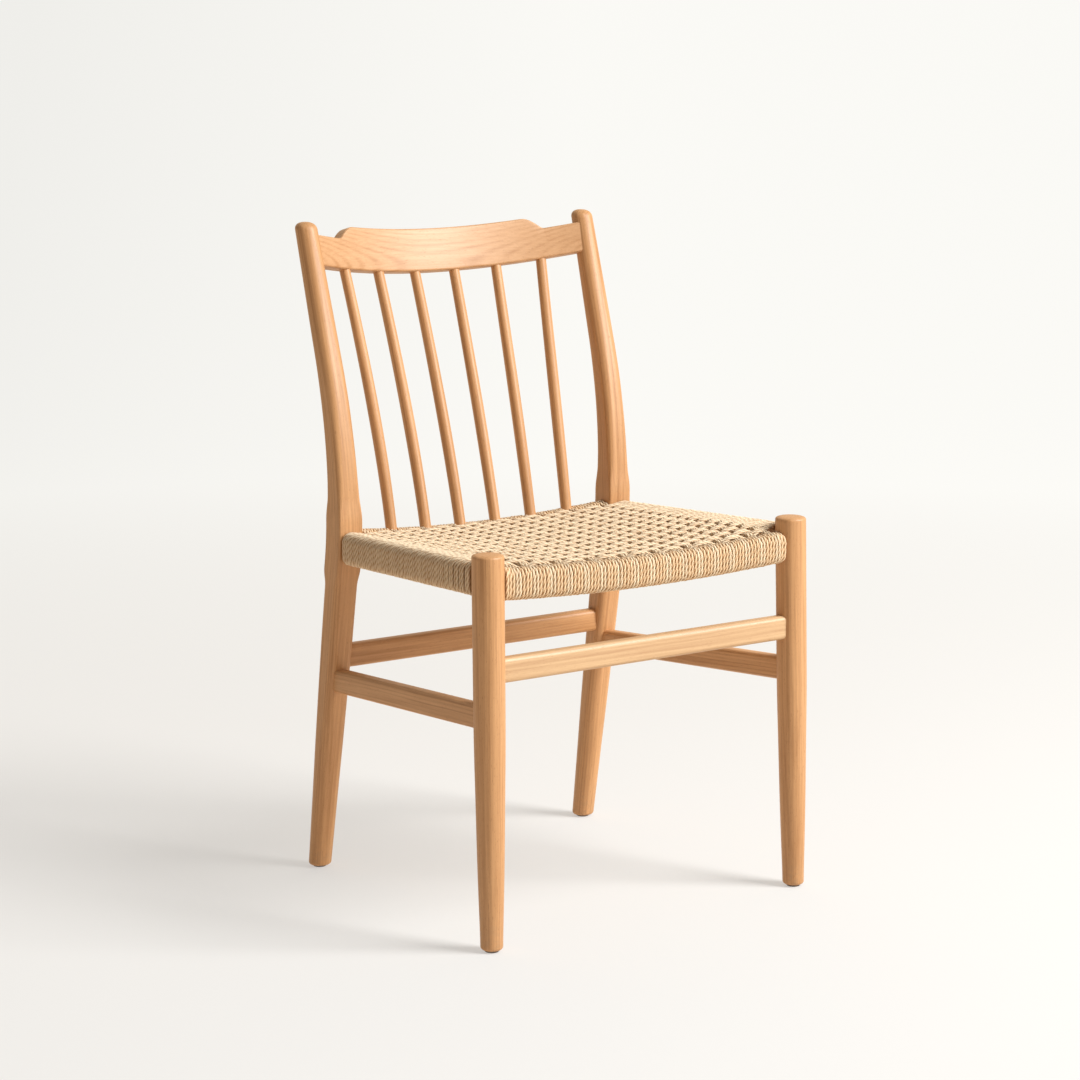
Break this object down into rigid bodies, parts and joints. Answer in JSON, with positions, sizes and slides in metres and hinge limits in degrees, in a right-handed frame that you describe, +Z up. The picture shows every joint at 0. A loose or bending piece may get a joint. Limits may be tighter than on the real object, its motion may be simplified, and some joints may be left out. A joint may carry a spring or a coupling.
{
  "type": "dining side chair",
  "caption": "Wooden side chair with slender back spindles under a shaped bowed crest rail, domed round front legs, flat stretchers and a woven paper-cord seat.",
  "frame": {"origin": "on the floor, under the centre of the chair's bounding box", "axes": "+Z up; the sitter faces -Y, so the backrest is towards +Y; +X is to the right of someone facing the chair's front"},
  "size_m": [0.4844, 0.4904, 0.81],
  "materials": {
    "wood": "satin oil on light beech, fine straight grain",
    "cord": "twisted unbleached paper cord, matt",
    "glide": "dark brown, matt"
  },
  "bodies": {
    "root": {"front_leg_left": "wood", "front_leg_right": "wood", "rear_post_left": "wood", "rear_post_right": "wood", "side_seat_rail_left": "wood", "side_seat_rail_right": "wood", "front_seat_rail": "wood", "rear_seat_rail": "wood", "front_stretcher": "wood", "rear_stretcher": "wood", "side_stretcher_left": "wood", "side_stretcher_right": "wood", "crest_rail": "wood", "spindle_1": "wood", "spindle_2": "wood", "spindle_3": "wood", "spindle_4": "wood", "spindle_5": "wood", "spindle_6": "wood", "seat_weave": "cord", "front_rail_wrap": "cord", "rear_rail_wrap": "cord", "side_rail_wrap_left": "cord", "side_rail_wrap_right": "cord", "front_glide_left": "glide", "front_glide_right": "glide", "rear_glide_left": "glide", "rear_glide_right": "glide"}
  },
  "joints": []
}
